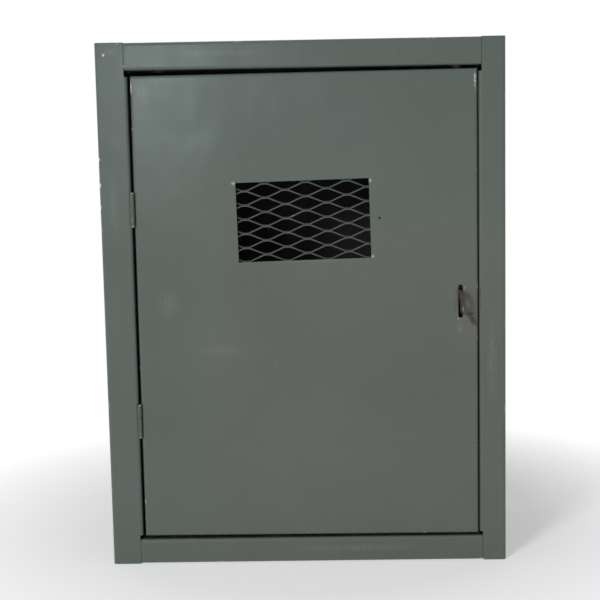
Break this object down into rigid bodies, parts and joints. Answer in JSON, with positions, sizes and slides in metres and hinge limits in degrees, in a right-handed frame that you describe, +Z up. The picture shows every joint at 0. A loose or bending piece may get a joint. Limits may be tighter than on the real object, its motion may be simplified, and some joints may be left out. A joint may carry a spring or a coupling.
{
  "type": "meter box",
  "caption": "Wall-mounted sheet-steel meter box with a hinged inset door, a mesh-covered viewing window and a padlock lug through a slot.",
  "frame": {"origin": "centre of the back face, where the box meets the wall", "axes": "+Z up, +Y towards the wall, +X to the right as seen from the front"},
  "size_m": [0.46, 0.222, 0.6],
  "materials": {
    "painted_steel": "satin green-grey paint, scuffed and chipped",
    "painted_mesh": "green-grey paint, worn thin on the strands",
    "painted_hinge": "painted over, worn at the knuckles",
    "hinge_pin_steel": "worn bright steel",
    "rusty_steel": "brown rust with remains of paint",
    "board_paint": "matt grey paint",
    "zinc_steel": "dull zinc plate",
    "earth_brass": "dull brass"
  },
  "bodies": {
    "cabinet": {"left_side": "painted_steel", "right_side": "painted_steel", "top_panel": "painted_steel", "bottom_panel": "painted_steel", "back_panel": "painted_steel", "padlock_lug": "rusty_steel", "meter_board": "board_paint", "upper_hinge_frame_leaf": "painted_hinge", "upper_hinge_pin": "hinge_pin_steel", "lower_hinge_frame_leaf": "painted_hinge", "lower_hinge_pin": "hinge_pin_steel", "board_spacer_1": "zinc_steel", "board_spacer_2": "zinc_steel", "board_spacer_3": "zinc_steel", "board_spacer_4": "zinc_steel", "board_studs": "zinc_steel", "board_nuts": "zinc_steel", "earth_stud": "earth_brass", "earth_washer": "earth_brass", "earth_nut": "earth_brass"},
    "door": {"door_panel": "painted_steel", "window_mesh": "painted_mesh", "upper_hinge_door_leaf": "painted_hinge", "lower_hinge_door_leaf": "painted_hinge"}
  },
  "joints": [
    {"name": "door_hinge", "type": "hinge", "parent": "cabinet", "child": "door", "pos_m": [-0.19275, -0.20064, 0], "axis": [0, 0, -1], "range_deg": [0, 170]}
  ]
}
